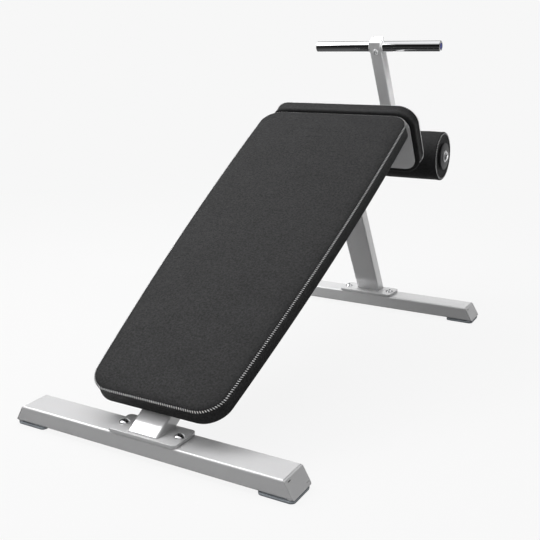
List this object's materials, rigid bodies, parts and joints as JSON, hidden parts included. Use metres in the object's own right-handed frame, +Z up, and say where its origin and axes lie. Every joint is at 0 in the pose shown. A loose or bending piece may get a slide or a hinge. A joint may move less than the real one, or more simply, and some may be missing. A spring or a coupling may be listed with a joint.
{
  "type": "abdominal bench",
  "caption": "Decline abdominal bench with a long padded board, a padded leg rest square to it, turning ankle rollers and a grip bar on a post, on two steel foot beams.",
  "frame": {"origin": "on the floor, in the middle of the bench's outer box", "axes": "+X to one side, square to the plane of symmetry; +Y from the low end of the back pad to the high end; +Z up"},
  "size_m": [0.747, 1.461, 0.8964],
  "materials": {
    "silver_paint": "satin silver-grey powder coat",
    "black_leather": "matt black grained upholstery with grey stitching",
    "black_board": "black stained plywood",
    "foot_rubber": "matt dark grey rubber",
    "chrome": "mirror polished",
    "zinc_steel": "bright zinc plate",
    "hub_plastic": "moulded dark grey",
    "plug_plastic": "glossy, nearly black"
  },
  "bodies": {
    "frame": {"front_foot_beam": "silver_paint", "rear_foot_beam": "silver_paint", "front_end_plate_left": "silver_paint", "front_end_plate_right": "silver_paint", "rear_end_plate_left": "silver_paint", "rear_end_plate_right": "silver_paint", "front_rubber_foot_left": "foot_rubber", "front_rubber_foot_right": "foot_rubber", "rear_rubber_foot_left": "foot_rubber", "rear_rubber_foot_right": "foot_rubber", "front_base_plate": "silver_paint", "rear_base_plate": "silver_paint", "front_plate_bolt_left": "zinc_steel", "front_plate_bolt_right": "zinc_steel", "rear_plate_bolt_left": "zinc_steel", "rear_plate_bolt_right": "zinc_steel", "front_plate_nut_left": "zinc_steel", "front_plate_nut_right": "zinc_steel", "rear_plate_nut_left": "zinc_steel", "rear_plate_nut_right": "zinc_steel", "main_beam": "silver_paint", "rear_upright": "silver_paint", "pad_bracket_lower": "silver_paint", "pad_bracket_upper": "silver_paint", "pad_bolt_lower_left": "zinc_steel", "pad_bolt_lower_right": "zinc_steel", "pad_bolt_upper_left": "zinc_steel", "pad_bolt_upper_right": "zinc_steel", "back_pad_board": "black_board", "back_pad_cushion": "black_leather", "leg_pad_plate": "silver_paint", "leg_pad_board": "black_board", "leg_pad_cushion": "black_leather", "leg_pad_screw_lower_left": "zinc_steel", "leg_pad_screw_lower_right": "zinc_steel", "leg_pad_screw_upper_left": "zinc_steel", "leg_pad_screw_upper_right": "zinc_steel", "roller_arm": "silver_paint", "roller_arm_end_plate": "silver_paint", "grip_post": "silver_paint", "grip_post_top_plate": "silver_paint", "grip_bar": "chrome", "grip_bar_plug_left": "plug_plastic", "grip_bar_plug_right": "plug_plastic", "grip_bar_screw": "zinc_steel", "roller_axle": "zinc_steel", "axle_spacer_left": "zinc_steel", "axle_spacer_right": "zinc_steel", "axle_washer_left": "zinc_steel", "axle_washer_right": "zinc_steel", "axle_nut_left": "chrome", "axle_nut_right": "chrome"},
    "roller_left": {"roller_cover_left": "black_leather", "roller_core_left": "zinc_steel", "roller_hub_outer_left": "hub_plastic", "roller_hub_inner_left": "hub_plastic"},
    "roller_right": {"roller_cover_right": "black_leather", "roller_core_right": "zinc_steel", "roller_hub_outer_right": "hub_plastic", "roller_hub_inner_right": "hub_plastic"}
  },
  "joints": [
    {"name": "roller_left_spin", "type": "hinge", "parent": "frame", "child": "roller_left", "pos_m": [-0.1315, 0.55668, 0.52638], "axis": [1, 0, 0], "continuous": true},
    {"name": "roller_right_spin", "type": "hinge", "parent": "frame", "child": "roller_right", "pos_m": [0.1315, 0.55668, 0.52638], "axis": [1, 0, 0], "continuous": true}
  ]
}
